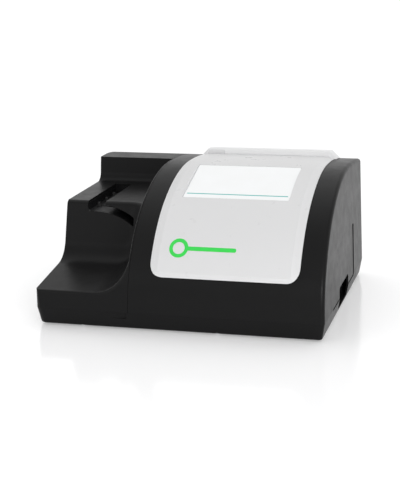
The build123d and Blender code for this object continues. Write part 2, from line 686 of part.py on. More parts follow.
def make_transport_frame():
    under = tray_line(-TRAY_T - 0.1)
    start, end = under[0] @ 0, under[-1] @ 1
    floor_z = FOOT_DROP + WALL
    low = [Line(end, (end.X, floor_z)), Line((end.X, floor_z), (start.X, floor_z)), Line((start.X, floor_z), start)]
    limit = Pos((SLOT_X0 + FRAME_X1) / 2, CASE_TOP / 2) * Rectangle(FRAME_X1 - SLOT_X0, CASE_TOP)
    face = make_face(under + low) & limit
    face = face - Pos(RAMP_START_X + 20, TRAY_FLOOR_Z - 32) * RectangleRounded(40, 34, 8)
    frame = block(SLOT_X0, FRAME_X1, FRAME_Y0, FRAME_Y1, floor_z, floor_z + FRAME_T)
    for y in (FRAME_Y0, FRAME_Y1 - FRAME_T):
        frame = frame + front_solid(face, y, y + FRAME_T)
    x, z = polar(0, 0)
    frame = frame - rod_y(x, FRAME_Y0 - 1, FRAME_Y1 + 1, z, BUSH_R + 0.05)
    x, z = pinion_centre()
    return frame - rod_y(x, FRAME_Y0 - 1, FRAME_Y0 + FRAME_T + 1, z, MOTOR_SHAFT_R + 1)


def make_bushes():
    x, z = polar(0, 0)
    bushes = []
    for y0, y1 in ((FRAME_Y0 - 2, SECTOR_Y0 - 0.3), (FRAME_Y1 - FRAME_T - 2, FRAME_Y1 + 2)):
        bushes.append(rod_y(x, y0, y1, z, BUSH_R) - rod_y(x, y0 - 1, y1 + 1, z, SHAFT_R + RUN_CLEAR))
    return Compound(children=bushes)


def make_sweeper_shaft():
    x, z = polar(0, 0)
    return rod_y(x, FRAME_Y0 - 4, FRAME_Y1 + 4, z, SHAFT_R)


# ---------------------------------------------------------------- measuring deck and transfer comb
def make_deck():
    lip = make_face(Polyline((DECK_END_X, DECK_Z), (CHUTE_END_X, CHUTE_END_Z), (CHUTE_END_X, CHUTE_END_Z - 1.5),
                             (DECK_END_X, DECK_Z - TRAY_T), close=True))
    top = block(DECK_X0, DECK_END_X, DECK_Y0, DECK_Y1, DECK_Z - TRAY_T, DECK_Z)
    deck = top + front_solid(lip, DECK_Y0, DECK_Y1)
    floor_z = FOOT_DROP + WALL + FRAME_T
    for y in (DECK_Y0, DECK_Y1 - TRAY_T):
        deck = deck + block(DECK_X0, DECK_END_X, y, y + TRAY_T, floor_z, DECK_Z)
    half_x, half_y = FINGER_W / 2 + SLIT_CLEAR, FINGER_T / 2 + SLIT_CLEAR
    for y in FINGER_Y:
        deck = deck - block(COMB_X - half_x, COMB_X + COMB_TRAVEL + half_x, y - half_y, y + half_y, DECK_Z - 9, DECK_Z + 1)
    return deck


def make_transfer_frame():
    floor_z = FOOT_DROP + WALL
    frame = block(PLATE_X0, PLATE_X1, DECK_Y0, DECK_Y1, floor_z, floor_z + FRAME_T)
    for x in (PLATE_X0, PLATE_X1 - FRAME_T):
        frame = frame + block(x, x + FRAME_T, ROD_Y[0] - 8, ROD_Y[1] + 6, floor_z, ROD_Z + 7)
    for x in (COMB_X, COMB_X + COMB_TRAVEL):
        frame = frame + block(x - 8, x + 8, BRACKET_Y, BRACKET_Y + FRAME_T, floor_z, PULLEY_Z + 9)
        frame = frame - rod_y(x, BRACKET_Y - 1, BRACKET_Y + FRAME_T + 1, PULLEY_Z, MOTOR_SHAFT_R)
    for y in ROD_Y:
        frame = frame - rod_x(PLATE_X0 - 1, PLATE_X1 + 1, y, ROD_Z, ROD_R + 0.02)
    return frame


def make_rods():
    return Compound(children=[rod_x(PLATE_X0 - 2, PLATE_X1 + 2, y, ROD_Z, ROD_R) for y in ROD_Y])


def make_comb():
    half = CARRIAGE_W / 2
    bar = block(COMB_X - 3, COMB_X + 3, ROD_Y[0], ROD_Y[1], ROD_Z - 3, ROD_Z + 3)
    for y in ROD_Y:
        bar = bar + block(COMB_X - half, COMB_X + half, y - half, y + half, ROD_Z - half, ROD_Z + half)
    belt_top = PULLEY_Z + PULLEY_R + BELT_CLEAR + BELT_T
    bar = bar + block(COMB_X - half, COMB_X + half, BELT_Y - 1, BELT_Y + BELT_W + 1, belt_top + BELT_CLEAR, ROD_Z)
    for y in FINGER_Y:
        bar = bar + block(COMB_X - FINGER_W / 2, COMB_X + FINGER_W / 2, y - FINGER_T / 2, y + FINGER_T / 2,
                          ROD_Z, DECK_Z + COMB_REACH)
    for y in ROD_Y:
        bar = bar - rod_x(COMB_X - CARRIAGE_W, COMB_X + CARRIAGE_W, y, ROD_Z, ROD_R + RUN_CLEAR)
    return bar


def pulley(x, bore):
    wheel = rod_y(x, BELT_Y, BELT_Y + BELT_W, PULLEY_Z, PULLEY_R)
    for y in (BELT_Y - 1.2, BELT_Y + BELT_W):
        wheel = wheel + rod_y(x, y, y + 1.2, PULLEY_Z, PULLEY_R + BELT_T)
    return wheel - rod_y(x, BELT_Y - 3, BELT_Y + BELT_W + 3, PULLEY_Z, bore) if bore else wheel


def make_drive_pulley():
    y1 = BRACKET_Y + FRAME_T + MOTOR_SHAFT_IN
    return pulley(COMB_X, 0) + rod_y(COMB_X, BELT_Y, y1, PULLEY_Z, SMALL_SHAFT_R)


def make_idler_axle():
    x = COMB_X + COMB_TRAVEL
    axle = rod_y(x, BELT_Y - 3, BRACKET_Y + FRAME_T, PULLEY_Z, SMALL_SHAFT_R)
    return axle + rod_y(x, BRACKET_Y + FRAME_T, BRACKET_Y + FRAME_T + 2, PULLEY_Z, MOTOR_SHAFT_R + 1.5)


def make_belt():
    inner = PULLEY_R + BELT_CLEAR
    x = COMB_X + COMB_TRAVEL / 2

    def loop(r):
        return Pos(x, PULLEY_Z) * SlotCenterToCenter(COMB_TRAVEL, 2 * r)

    return front_solid(loop(inner + BELT_T) - loop(inner), BELT_Y + 0.3, BELT_Y + BELT_W - 0.3)


def make_transfer_motor():
    y0 = BRACKET_Y + FRAME_T
    body = front_solid(Pos(COMB_X, PULLEY_Z) * RectangleRounded(SMALL_MOTOR_SIDE, SMALL_MOTOR_SIDE, 2.5), y0, y0 + SMALL_MOTOR_LENGTH)
    return body - rod_y(COMB_X, y0 - 1, y0 + MOTOR_SHAFT_IN + 1, PULLEY_Z, SMALL_SHAFT_R + RUN_CLEAR)


def make_optical_head():
    body = block(HEAD_X0, HEAD_X1, HEAD_Y0, HEAD_Y1, HEAD_Z0, HEAD_Z1)
    body = chamfer(body.edges().group_by(Axis.Z)[-1], 2.0)
    body = body - block(HEAD_X0 + 8, HEAD_X1 - 8, HEAD_Y0 + 4, HEAD_Y1 - 4, HEAD_Z0 - 1, HEAD_Z1 - 6)
    middle = (HEAD_X0 + HEAD_X1) / 2
    for y0, y1, toe0, toe1 in ((DECK_Y0 + 2, DECK_Y0 + 5, DECK_Y0 + 2, HEAD_Y0), (DECK_Y1 - 5, DECK_Y1 - 2, HEAD_Y1, DECK_Y1 - 2)):
        body = body + block(middle - 9, middle + 9, y0, y1, DECK_Z, HEAD_Z1 - 6)
        body = body + block(middle - 9, middle + 9, toe0, toe1, HEAD_Z1 - 9, HEAD_Z1 - 6)
    return body


def make_sensor_board():
    board = block(HEAD_X0 + 3, HEAD_X1 - 3, HEAD_Y0 + 3, HEAD_Y1 - 3, HEAD_Z1, HEAD_Z1 + BOARD_T)
    middle = (HEAD_X0 + HEAD_X1) / 2
    return board + block(middle - 5, middle + 5, HEAD_Y0 + 20, HEAD_Y1 - 30, HEAD_Z1 + BOARD_T, HEAD_Z1 + BOARD_T + 2.5)


def make_light_bars():
    z0, z1 = HEAD_Z0 + 2, HEAD_Z0 + 5
    bars = [block(x, x + 3, HEAD_Y0 + 6, HEAD_Y1 - 6, z0, z1) for x in (HEAD_X0 + 8, HEAD_X1 - 11)]
    return Compound(children=bars)


# ---------------------------------------------------------------- white cover and screen
def raised_band(x0, x1, lift, profile=arch_face):
    """A band that stands over the arch, with a wide bevel down each side."""
    low, high = profile(COVER_EDGE), profile(lift)
    w = COVER_BEVEL_W
    left = loft([(Plane.YZ.offset(x0) * low).face(), (Plane.YZ.offset(x0 + w) * high).face()], ruled=True)
    right = loft([(Plane.YZ.offset(x1 - w) * high).face(), (Plane.YZ.offset(x1) * low).face()], ruled=True)
    return left + side_solid(high, x0 + w, x1 - w) + right


def lower_bevel():
    """What the bevel along the cover's lower edge takes away."""
    top_z = COVER_LOW_Z + COVER_BEVEL_LOW
    low = Vector(arch_y(COVER_LOW_Z, COVER_EDGE), COVER_LOW_Z)
    way = Vector(arch_y(top_z, COVER_LIFT), top_z) - low
    out = Vector(-way.Y, way.X) * 3
    face = make_face(Polyline(low - way * 2, low + way * 4, low + way * 4 + out, low - way * 2 + out, close=True))
    return side_solid(face, COVER_X0 - 1, COVER_X1 + 1)


def screen_plane():
    """The screen lies on the chord between its front and back edges on the cover's face."""
    z0, z1 = arch_z(SCREEN_FRONT_Y, COVER_LIFT), arch_z(SCREEN_BACK_Y, COVER_LIFT)
    slope = math.atan2(z1 - z0, SCREEN_BACK_Y - SCREEN_FRONT_Y)
    origin = ((SCREEN_X0 + SCREEN_X1) / 2, (SCREEN_FRONT_Y + SCREEN_BACK_Y) / 2, (z0 + z1) / 2)
    return Plane(origin=origin, x_dir=(1, 0, 0), z_dir=(0, -math.sin(slope), math.cos(slope)))


def screen_size():
    z0, z1 = arch_z(SCREEN_FRONT_Y, COVER_LIFT), arch_z(SCREEN_BACK_Y, COVER_LIFT)
    return SCREEN_X1 - SCREEN_X0, math.hypot(z1 - z0, SCREEN_BACK_Y - SCREEN_FRONT_Y)


def on_screen(margin, low, high, r=1.0):
    """A slab square to the screen, larger all round by the margin."""
    w, h = screen_size()
    face = RectangleRounded(w + 2 * margin, h + 2 * margin, r)
    return extrude(screen_plane().offset(low) * face, amount=high - low)


def status_face(grow):
    def oval(r, more):
        return Pos(RING_X, RING_Z) * Ellipse(r + more, r * RING_SQUASH + more)

    x0 = RING_X + (RING_R + RING_HOLE_R) / 2
    bar = Pos((x0 + BAR_END_X) / 2, RING_Z) * RectangleRounded(BAR_END_X - x0 + 2 * grow, BAR_H + 2 * grow, BAR_H / 2.1)
    return oval(RING_R, grow) - oval(RING_HOLE_R, -grow) + (bar - oval((RING_R + RING_HOLE_R) / 2, 0))


def light_posts():
    middle = (RING_R + RING_HOLE_R) / 2
    return [(RING_X - middle, RING_Z), (RING_X + middle, RING_Z), (BAR_END_X - BAR_H, RING_Z)]


def make_front_cover():
    outline = Pos((COVER_X0 + COVER_X1) / 2, COVER_LOW_Z + CASE_TOP / 2)
    outline = outline * RectangleRounded(COVER_X1 - COVER_X0, CASE_TOP, COVER_CORNER_R)
    reach = front_solid(outline, -20, COVER_BACK_Y)
    envelope = (raised_band(COVER_X0, COVER_X1, COVER_LIFT) & reach) - lower_bevel()
    cover = envelope - side_solid(arch_face(COVER_SEAT), COVER_X0 - 1, COVER_X1 + 1)
    glass_back = -GLASS_GAP - GLASS_T
    cover = cover + (on_screen(SCREEN_LEDGE, glass_back - LEDGE_T, 20, 3.0) & envelope)
    cover = cover - on_screen(0, glass_back, 30) - on_screen(-SCREEN_LEDGE, -30, 30)
    cover = cover - on_screen(SCREEN_LEDGE - 1.5, -30, glass_back - LEDGE_T, 2.0)
    groove = front_solid(status_face(LIGHT_GAP), -20, SCREEN_FRONT_Y) - side_solid(arch_face(COVER_LIFT - LIGHT_T), 0, WIDTH)
    cover = cover - groove
    for x, z in light_posts():
        cover = cover - rod_y(x, -20, SCREEN_FRONT_Y - 10, z, LIGHT_POST_R + LIGHT_GAP)
    return cover


def make_light_guide():
    skin = side_solid(arch_face(COVER_LIFT + LIGHT_PROUD), 0, WIDTH) - side_solid(arch_face(COVER_LIFT - LIGHT_T + LIGHT_GAP), -1, WIDTH + 1)
    guide = front_solid(status_face(0), -20, SCREEN_FRONT_Y) & skin
    for x, z in light_posts():
        post = rod_y(x, -20, LIGHT_BOARD_Y - LIGHT_GAP, z, LIGHT_POST_R)
        guide = guide + (post & side_solid(arch_face(COVER_LIFT - 0.5), 0, WIDTH))
    return guide


def make_light_board():
    x0, x1 = RING_X - RING_R, BAR_END_X + 4
    board = block(x0, x1, LIGHT_BOARD_Y, LIGHT_BOARD_Y + BOARD_T, RING_Z - RING_R, RING_Z + RING_R)
    return board - [rod_y(x, LIGHT_BOARD_Y - 1, LIGHT_BOARD_Y + 4, z, 1.2) for x, z in light_board_pillars()]


def light_board_pillars():
    return [(RING_X + 2 * RING_R, RING_Z + RING_R * 0.6), (BAR_END_X - 2 * BAR_H, RING_Z + RING_R * 0.6)]


def make_glass():
    return on_screen(-0.3, -GLASS_GAP - GLASS_T, -GLASS_GAP, 0.8)


def make_display():
    back = -GLASS_GAP - GLASS_T - LEDGE_T
    module = on_screen(SCREEN_LEDGE - 2, back - DISPLAY_T, back, 1.5)
    return module - on_screen(-12, back - DISPLAY_T - 1, back - DISPLAY_T + 2, 2.0)


# ---------------------------------------------------------------- printer
def hinge_axis():
    y = LID_BACK_Y - HINGE_R
    return y, arch_z(y, 0) + HINGE_R + 0.35


def lid_front_y():
    return COVER_BACK_Y + LID_GAP


def lid_profile(out):
    """The arch between the lid's front and its hinge, with both upper corners rounded."""
    y0, y1 = lid_front_y(), hinge_axis()[0]
    face = arch_face(out) & (Pos((y0 + y1) / 2, CASE_TOP) * Rectangle(y1 - y0, CASE_TOP))
    top = [face.vertices().sort_by_distance(Vector(y, arch_z(y, out)))[0] for y in (y0, y1 - 0.001)]
    return fillet(top, LID_EDGE_R)


def make_lid():
    y0 = lid_front_y()
    axis_y, axis_z = hinge_axis()
    lid = raised_band(LID_X0, LID_X1, LID_LIFT, lid_profile) - side_solid(arch_face(COVER_SEAT), 0, WIDTH)
    hollow = side_solid(arch_face(LID_LIFT - LID_T), LID_X0 + COVER_BEVEL_W, LID_X1 - COVER_BEVEL_W)
    lid = lid - (hollow & block(0, WIDTH, y0 + 3.5, axis_y - HINGE_R - 1.5, 0, CASE_TOP))
    lid = lid + rod_x(LID_X0 + EAR_IN / 2, LID_X1 - EAR_IN / 2, axis_y, axis_z, HINGE_R)
    for x in ear_places():
        lid = lid - block(x - HINGE_SIDE, x + EAR_W + HINGE_SIDE, axis_y - HINGE_R - 1.2, DEPTH, 0, CASE_TOP)
    lid = lid - rod_x(LID_X0, LID_X1, axis_y, axis_z, HINGE_PIN_R + RUN_CLEAR)
    notch = extrude(Pos(LID_NOTCH_X, y0, 0) * SlotOverall(LID_NOTCH_W, 2 * LID_NOTCH_D), amount=CASE_TOP)
    lid = lid - notch
    for x in platen_ears():
        ear = block(x, x + EAR_T, PLATEN_Y - 3.5, PLATEN_Y + 3.5, PLATEN_Z - 3, arch_z(PLATEN_Y, LID_LIFT - LID_T) + 1)
        lid = lid + (ear & side_solid(arch_face(LID_LIFT - 0.5), 0, WIDTH))
        lid = lid - rod_x(x - 1, x + EAR_T + 1, PLATEN_Y, PLATEN_Z, PLATEN_SHAFT_R + RUN_CLEAR)
    return lid


def platen_ears():
    return (ROLL_X0 - 2 - EAR_T, ROLL_X0 + ROLL_W + 2)


def ear_places():
    return LID_X0 + EAR_IN, LID_X1 - EAR_IN - EAR_W


def make_hinge_pin():
    return rod_x(LID_X0 + EAR_IN / 2, LID_X1 - EAR_IN / 2, *hinge_axis(), HINGE_PIN_R)


def make_platen():
    return rod_x(ROLL_X0 - 1, ROLL_X0 + ROLL_W + 1, PLATEN_Y, PLATEN_Z, PLATEN_R)


def gear_x0():
    return platen_ears()[1] + EAR_T + 0.8


def make_platen_shaft():
    x0, x1 = platen_ears()[0] - 1.5, gear_x0() + PRINT_GEAR_T
    shaft = rod_x(x0, x1, PLATEN_Y, PLATEN_Z, PLATEN_SHAFT_R)
    gear = gear_face(PLATEN_Y, PLATEN_Z, PLATEN_TEETH, PRINT_MODULE, -90)
    return shaft + side_solid(gear, gear_x0(), x1)


def print_motor_centre():
    return PLATEN_Y, PLATEN_Z - PRINT_MODULE * (PLATEN_TEETH + PRINT_PINION_TEETH) / 2


def rib_x0():
    return gear_x0() + PRINT_GEAR_T + 0.8


def make_print_pinion():
    y, z = print_motor_centre()
    gear = side_solid(gear_face(y, z, PRINT_PINION_TEETH, PRINT_MODULE, 90 + 180 / PRINT_PINION_TEETH),
                      gear_x0() - 0.3, gear_x0() + PRINT_GEAR_T + 0.3)
    return gear + rod_x(gear_x0(), rib_x0() + BAY_T + MOTOR_SHAFT_IN, y, z, PRINT_SHAFT_R)


def make_print_motor():
    y, z = print_motor_centre()
    x0 = rib_x0() + BAY_T
    body = rod_x(x0, x0 + PRINT_MOTOR_L, y, z, PRINT_MOTOR_R)
    return body - rod_x(x0 - 1, x0 + MOTOR_SHAFT_IN + 1, y, z, PRINT_SHAFT_R + RUN_CLEAR)


def make_bay():
    bottom = ROLL_Z - ROLL_R - 2 * BAY_T
    outer = block(BAY_X0 - BAY_T, BAY_X1 + BAY_T, BAY_Y0 - BAY_T, BAY_Y1 + BAY_T, bottom, CASE_TOP)
    inner = block(BAY_X0, BAY_X1, BAY_Y0, BAY_Y1, bottom + BAY_T, CASE_TOP + 1)
    bay = outer - inner
    x0, x1 = ROLL_X0 - 0.5, ROLL_X0 + ROLL_W + 0.5
    cradle = block(x0 - BAY_T, x1 + BAY_T, BAY_Y0, BAY_Y1, bottom, ROLL_Z + 4)
    cradle = cradle - block(x0, x1, BAY_Y0, BAY_Y1, ROLL_Z, ROLL_Z + 9) - rod_x(x0, x1, roll_y(), ROLL_Z, ROLL_R + ROLL_CLEAR)
    rib = block(rib_x0(), rib_x0() + BAY_T, BAY_Y0, BAY_Y1, bottom, PLATEN_Z - PLATEN_SHAFT_R - 1)
    rib = rib - rod_x(rib_x0() - 1, rib_x0() + BAY_T + 1, *print_motor_centre(), PRINT_SHAFT_R + 1)
    return (bay + cradle + rib) & side_solid(arch_face(-WALL - 0.1), 0, WIDTH)


def roll_y():
    return (BAY_Y0 + BAY_Y1) / 2


def make_paper_roll():
    roll = rod_x(ROLL_X0, ROLL_X0 + ROLL_W, roll_y(), ROLL_Z, ROLL_R)
    return roll - rod_x(ROLL_X0 - 1, ROLL_X0 + ROLL_W + 1, roll_y(), ROLL_Z, ROLL_CORE_R)


def make_thermal_head():
    y1 = PLATEN_Y - PLATEN_R - BELT_CLEAR
    head = block(ROLL_X0 - 1, ROLL_X0 + ROLL_W + 1, y1 - 1.0, y1, PLATEN_Z - 9, PLATEN_Z - 0.5)
    return head + block(ROLL_X0 + 2, ROLL_X0 + ROLL_W - 2, BAY_Y0, y1 - 1.0, PLATEN_Z - 12, PLATEN_Z - 3)


# ---------------------------------------------------------------- waste drawer
def make_drawer_front():
    solid = (case_block(0) + base_outer(0)) & drawer_aperture(DRAWER_GAP)
    solid = solid - (case_block(WALL) + (base_outer(WALL)))
    return Pos(-DRAWER_INSET, 0, 0) * solid - notch_cut()


def bin_sides():
    return DRAWER_Y0 + BIN_SIDE_CLEAR, DRAWER_Y1 - BIN_SIDE_CLEAR


def make_bin():
    y0, y1 = bin_sides()
    limit = Pos(-DRAWER_INSET, 0, 0) * case_block(WALL)
    outer = block(BIN_X0, WIDTH, y0, y1, BIN_Z0, BIN_Z1) & limit
    inner_x1 = WIDTH - WALL - DRAWER_INSET - BIN_T - 1.5
    inner = block(BIN_X0 + BIN_T, inner_x1, y0 + BIN_T, y1 - BIN_T, BIN_Z0 + BIN_T, BIN_Z1 + 1)
    inner = fillet(inner.edges().filter_by(Axis.Z), 6.0)
    scoop_x0 = WIDTH - SCOOP_DEPTH
    liner = block(scoop_x0 - BIN_T, inner_x1 + 1, NOTCH_Y0 - 2 * BIN_T, NOTCH_Y1 + 2 * BIN_T, BIN_Z0, NOTCH_Z1 + 2 * BIN_T)
    scoop = block(scoop_x0, WIDTH + 1, NOTCH_Y0 - BIN_T, NOTCH_Y1 + BIN_T, BIN_Z0 - 1, NOTCH_Z1 + BIN_T)
    return outer - inner + (liner & limit) - scoop


def make_guides():
    y0, y1 = bin_sides()
    floor_z = FOOT_DROP + WALL
    shelf_z = BIN_Z0 - GUIDE_CLEAR
    guides = []
    for side, way in ((y0 - GUIDE_CLEAR, 1), (y1 + GUIDE_CLEAR, -1)):
        wall_y = sorted((side, side - way * GUIDE_T))
        shelf_y = sorted((side - way * GUIDE_T, side + way * 3 * GUIDE_T))
        guide = block(BIN_X0 + 2, GUIDE_X1, *wall_y, floor_z, BIN_Z0 + 10)
        guide = guide + block(BIN_X0 + 2, GUIDE_X1, *shelf_y, shelf_z - GUIDE_T, shelf_z)
        guides.append(guide)
    return Compound(children=guides)


# ---------------------------------------------------------------- electronics and back panel
def socket_box(name, grow=0.0):
    x, width, height, depth = SOCKETS[name]
    z0 = BOARD_Z + BOARD_T
    return block(x - width / 2 - grow, x + width / 2 + grow, DEPTH - SOCKET_BACK - depth, DEPTH - SOCKET_BACK,
                 z0 - grow, z0 + height + grow)


def back_openings():
    cuts = []
    for name in SOCKETS:
        x, width, height, depth = SOCKETS[name]
        cuts.append(block(x - width / 2 - 0.5, x + width / 2 + 0.5, DEPTH - 15, DEPTH + 1,
                          BOARD_Z + BOARD_T - 0.5, BOARD_Z + BOARD_T + height + 0.5))
    return cuts


def make_dc_inlet():
    x, width, height, depth = SOCKETS["dc"]
    z = BOARD_Z + BOARD_T + height / 2
    body = socket_box("dc") - rod_y(x, DEPTH - 10, DEPTH, z, 3.2)
    return body + rod_y(x, DEPTH - 11, DEPTH - 3, z, 1.0)


def make_usb_sockets():
    sockets = []
    for name, w, h in (("usb_b", 8.6, 7.9), ("usb_a", 12.4, 5.2)):
        x, width, height, depth = SOCKETS[name]
        z = BOARD_Z + BOARD_T + height / 2
        hollow = block(x - w / 2, x + w / 2, DEPTH - 11, DEPTH, z - h / 2, z + h / 2)
        tongue = block(x - w / 4, x + w / 4, DEPTH - 12, DEPTH - 3, z - 0.9, z + 0.9)
        sockets.append(socket_box(name) - hollow + tongue)
    return Compound(children=sockets)


def make_serial_socket():
    x, width, height, depth = SOCKETS["serial"]
    z = BOARD_Z + BOARD_T + height / 2
    body = socket_box("serial")
    shell = front_solid(Pos(x, z) * RectangleRounded(17.5, 8.6, 2.5), DEPTH - 4, DEPTH)
    hollow = front_solid(Pos(x, z) * RectangleRounded(16.3, 7.4, 2.0), DEPTH - 6, DEPTH + 1)
    return body - (shell - hollow)


def make_board():
    board = block(BOARD_X0, BOARD_X1, BOARD_Y0, BOARD_Y1, BOARD_Z, BOARD_Z + BOARD_T)
    top = BOARD_Z + BOARD_T
    for x, y, w, d, h in ((122, 23, 22, 22, 2.2), (92, 16, 12, 12, 1.6), (152, 38, 14, 8, 1.6), (154, 10, 24, 6, 8)):
        x0, y0 = BOARD_X0 + x - w / 2, BOARD_Y0 + y - d / 2
        board = board + block(x0, x0 + w, y0, y0 + d, top, top + h)
    for x in (22, 34, 46):
        board = board + rod_z(BOARD_X0 + x, BOARD_Y0 + 20, top, top + 11, 4)
    return board - [rod_z(x, y, BOARD_Z - 1, top + 1, 1.7) for x, y in board_screws()]


def board_screws():
    return [(x, y) for x in (BOARD_X0 + 8, BOARD_X1 - 6) for y in (BOARD_Y0 + 5, BOARD_Y1 - 20)]


def make_standoffs():
    posts = []
    for x, y in board_screws():
        posts.append(rod_z(x, y, FOOT_DROP + WALL, BOARD_Z, 3.0) - rod_z(x, y, BOARD_Z - 8, BOARD_Z + 1, 1.4))
    return Compound(children=posts)


def make_board_screws():
    top = BOARD_Z + BOARD_T
    return Compound(children=[rod_z(x, y, BOARD_Z - 7, top, 1.38) + rod_z(x, y, top, top + 1.8, 2.8) for x, y in board_screws()])


def back_face_y(z):
    return DEPTH - (z - SEAM_Z) * math.tan(math.radians(DRAFT))


def switch_opening():
    return block(SWITCH_X - SWITCH_W / 2, SWITCH_X + SWITCH_W / 2, DEPTH - 15, DEPTH + 1,
                 SWITCH_Z - SWITCH_H / 2, SWITCH_Z + SWITCH_H / 2)


def make_switch():
    face = back_face_y(SWITCH_Z - SWITCH_H / 2 - SWITCH_RIM)
    body = block(SWITCH_X - SWITCH_W / 2 + 0.3, SWITCH_X + SWITCH_W / 2 - 0.3, face - SWITCH_DEPTH, face,
                 SWITCH_Z - SWITCH_H / 2 + 0.3, SWITCH_Z + SWITCH_H / 2 - 0.3)
    rim = front_solid(Pos(SWITCH_X, SWITCH_Z) * RectangleRounded(SWITCH_W + 2 * SWITCH_RIM, SWITCH_H + 2 * SWITCH_RIM, 1.5),
                      face + 0.02, face + SWITCH_RIM_T)
    well = block(SWITCH_X - ROCKER_W / 2 - 0.4, SWITCH_X + ROCKER_W / 2 + 0.4, rocker_y() - ROCKER_R - 0.6, DEPTH + 2,
                 SWITCH_Z - ROCKER_R - 0.4, SWITCH_Z + ROCKER_R + 0.4)
    return body + rim - well


def rocker_y():
    return back_face_y(SWITCH_Z) - ROCKER_SINK


def make_rocker():
    """A rocker with a shallow V face, one half level with the rim at rest."""
    drum = rod_x(SWITCH_X - ROCKER_W / 2, SWITCH_X + ROCKER_W / 2, rocker_y(), SWITCH_Z, ROCKER_R)
    reach = 3 * ROCKER_R
    face = make_face(Polyline((rocker_y() - reach, SWITCH_Z - reach), (rocker_y() + ROCKER_FACE, SWITCH_Z - reach),
                              (rocker_y() + ROCKER_FACE, SWITCH_Z),
                              (rocker_y() + ROCKER_FACE - reach * math.tan(math.radians(-ROCKER_DEG)), SWITCH_Z + reach),
                              (rocker_y() - reach, SWITCH_Z + reach), close=True))
    return drum & side_solid(face, 0, WIDTH)


def make_case_screws():
    left, right = screw_places()
    screws = []
    for x, y in left + right:
        head_top = FOOT_DROP + SCREW_SINK
        screws.append(rod_z(x, y, head_top - 2.0, head_top, SCREW_HEAD_R) + rod_z(x, y, head_top, SEAM_Z + SCREW_GRIP - 1, SCREW_R))
    return Compound(children=screws)


# ---------------------------------------------------------------- build and write
def main():
    node("base_shell", make_base())
    node("rubber_feet", Compound(children=make_feet()))
    node("case_screws", make_case_screws())
    node("left_cover", make_left_cover())
    node("main_housing", make_main_housing())
    node("front_cover", make_front_cover())
    node("screen_glass", make_glass())
    node("display_module", make_display())
    node("status_light_guide", make_light_guide())
    node("status_light_board", make_light_board())
    node("strip_tray", make_tray())
    node("transport_frame", make_transport_frame())
    node("shaft_bushes", make_bushes())
    node("sweeper_shaft", make_sweeper_shaft())
    node("sweeper_arm", make_sweeper_arm())
    node("sweeper_sector", make_sector())
    node("sweeper_pinion", make_sweeper_pinion())
    node("sweeper_motor", make_sweeper_motor())
    node("measuring_deck", make_deck())
    node("transfer_frame", make_transfer_frame())
    node("transfer_rods", make_rods())
    node("transfer_comb", make_comb())
    node("drive_pulley", make_drive_pulley())
    node("idler_pulley", pulley(COMB_X + COMB_TRAVEL, SMALL_SHAFT_R + RUN_CLEAR))
    node("idler_axle", make_idler_axle())
    node("transfer_belt", make_belt())
    node("transfer_motor", make_transfer_motor())
    node("optical_head", make_optical_head())
    node("sensor_board", make_sensor_board())
    node("light_bars", make_light_bars())
    node("printer_bay", make_bay())
    node("paper_roll", make_paper_roll())
    node("thermal_head", make_thermal_head())
    node("printer_lid", make_lid())
    node("lid_hinge_pin", make_hinge_pin())
    node("platen_roller", make_platen() - rod_x(0, WIDTH, PLATEN_Y, PLATEN_Z, PLATEN_SHAFT_R + 0.01))
    node("platen_shaft", make_platen_shaft())
    node("printer_pinion", make_print_pinion())
    node("printer_motor", make_print_motor())
    node("drawer_front", make_drawer_front())
    node("waste_bin", make_bin())
    node("drawer_guides", make_guides())
    node("main_board", make_board())
    node("board_standoffs", make_standoffs())
    node("board_screws", make_board_screws())
    node("dc_inlet", make_dc_inlet())
    node("usb_sockets", make_usb_sockets())
    node("serial_socket", make_serial_socket())
    node("power_switch", make_switch())
    node("power_rocker", make_rocker())


main()
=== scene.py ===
import json
import math

import bmesh
import bpy
from mathutils import Matrix, Vector


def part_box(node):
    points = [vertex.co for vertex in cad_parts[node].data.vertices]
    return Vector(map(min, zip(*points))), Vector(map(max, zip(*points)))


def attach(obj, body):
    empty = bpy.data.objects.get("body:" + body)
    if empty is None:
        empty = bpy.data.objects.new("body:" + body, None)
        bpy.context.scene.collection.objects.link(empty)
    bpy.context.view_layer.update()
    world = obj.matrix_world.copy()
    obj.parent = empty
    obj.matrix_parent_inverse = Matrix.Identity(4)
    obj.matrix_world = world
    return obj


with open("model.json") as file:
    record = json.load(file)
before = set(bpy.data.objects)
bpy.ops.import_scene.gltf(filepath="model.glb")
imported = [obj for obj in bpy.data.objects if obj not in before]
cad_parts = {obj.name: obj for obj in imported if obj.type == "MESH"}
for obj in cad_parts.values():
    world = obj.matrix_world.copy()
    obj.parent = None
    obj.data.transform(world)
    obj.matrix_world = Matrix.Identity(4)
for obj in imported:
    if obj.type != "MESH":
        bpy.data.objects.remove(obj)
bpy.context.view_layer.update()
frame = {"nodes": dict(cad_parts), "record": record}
nodes = frame["nodes"]


# ---------------------------------------------------------------- materials
def new_material(name):
    material = bpy.data.materials.new(name)
    material.use_nodes = True
    tree = material.node_tree
    shader = tree.nodes["Principled BSDF"]
    place = tree.nodes.new("ShaderNodeTexCoord").outputs["Object"]
    return material, tree, shader, place


def noise(tree, place, scale, detail=2.0, rough=0.5):
    node = tree.nodes.new("ShaderNodeTexNoise")
    node.inputs["Scale"].default_value = scale
    node.inputs["Detail"].default_value = detail
    node.inputs["Roughness"].default_value = rough
    tree.links.new(place, node.inputs["Vector"])
    return node.outputs["Fac"]


def spread(tree, value, low, high, start=0.3, end=0.7):
    """Map a value from start..end to low..high; the defaults fit what a noise texture gives."""
    node = tree.nodes.new("ShaderNodeMapRange")
    tree.links.new(value, node.inputs["Value"])
    for key, number in (("From Min", start), ("From Max", end), ("To Min", low), ("To Max", high)):
        node.inputs[key].default_value = number
    return node.outputs["Result"]


